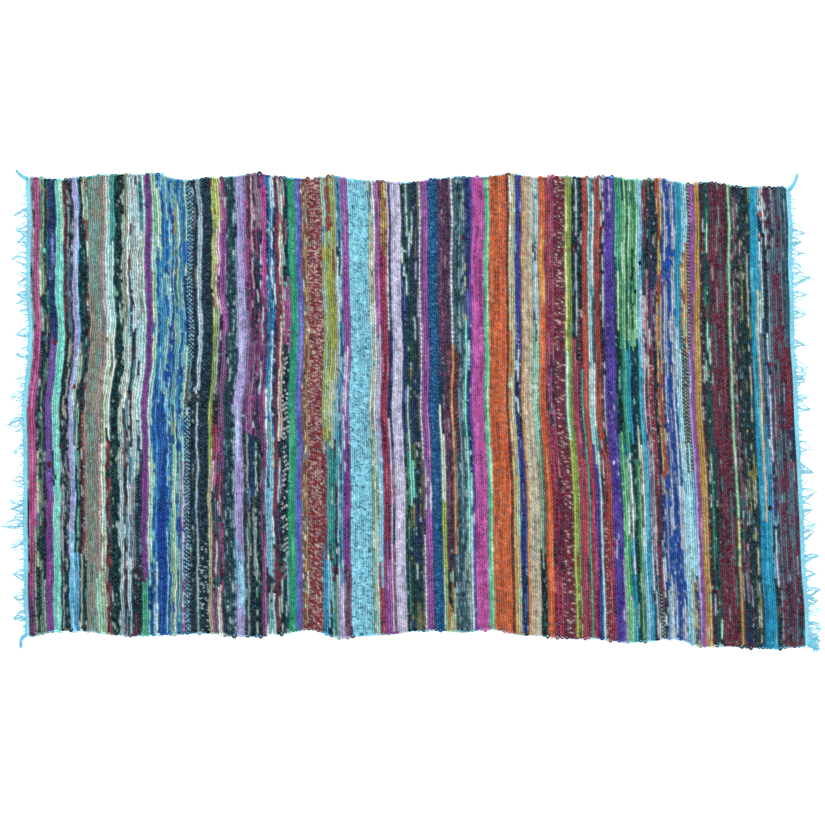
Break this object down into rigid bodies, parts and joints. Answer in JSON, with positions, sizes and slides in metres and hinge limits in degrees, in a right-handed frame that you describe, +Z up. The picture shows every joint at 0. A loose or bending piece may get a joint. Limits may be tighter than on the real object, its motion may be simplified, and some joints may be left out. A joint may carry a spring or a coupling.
{
  "type": "rag rug",
  "caption": "Flat-woven rag rug with stripes of cotton strips across it, a thin sky-blue warp, fringed ends and twisted corner tassels.",
  "frame": {"origin": "middle of the whole rug's box, on the floor it lies on", "axes": "+X along the warp, the rug's long side, towards the end whose lower corner is frayed; +Y across the rug, towards the far selvedge; +Z up from the floor"},
  "size_m": [1.606, 0.9578, 0.008],
  "materials": {
    "rag_weave": "matt cotton and jersey strips of many colours, packed as ribbed weft",
    "warp_cotton": "matt sky-blue cotton yarn, thin and slightly fuzzy",
    "tassel_cotton": "matt sky-blue cotton yarn, gathered and twisted"
  },
  "bodies": {
    "root": {"rug_cloth": "rag_weave", "end_fringe_left": "warp_cotton", "end_fringe_right": "warp_cotton", "corner_tassel_1": "tassel_cotton", "corner_tassel_2": "tassel_cotton", "corner_tassel_3": "tassel_cotton", "corner_tassel_4": "tassel_cotton"}
  },
  "joints": []
}
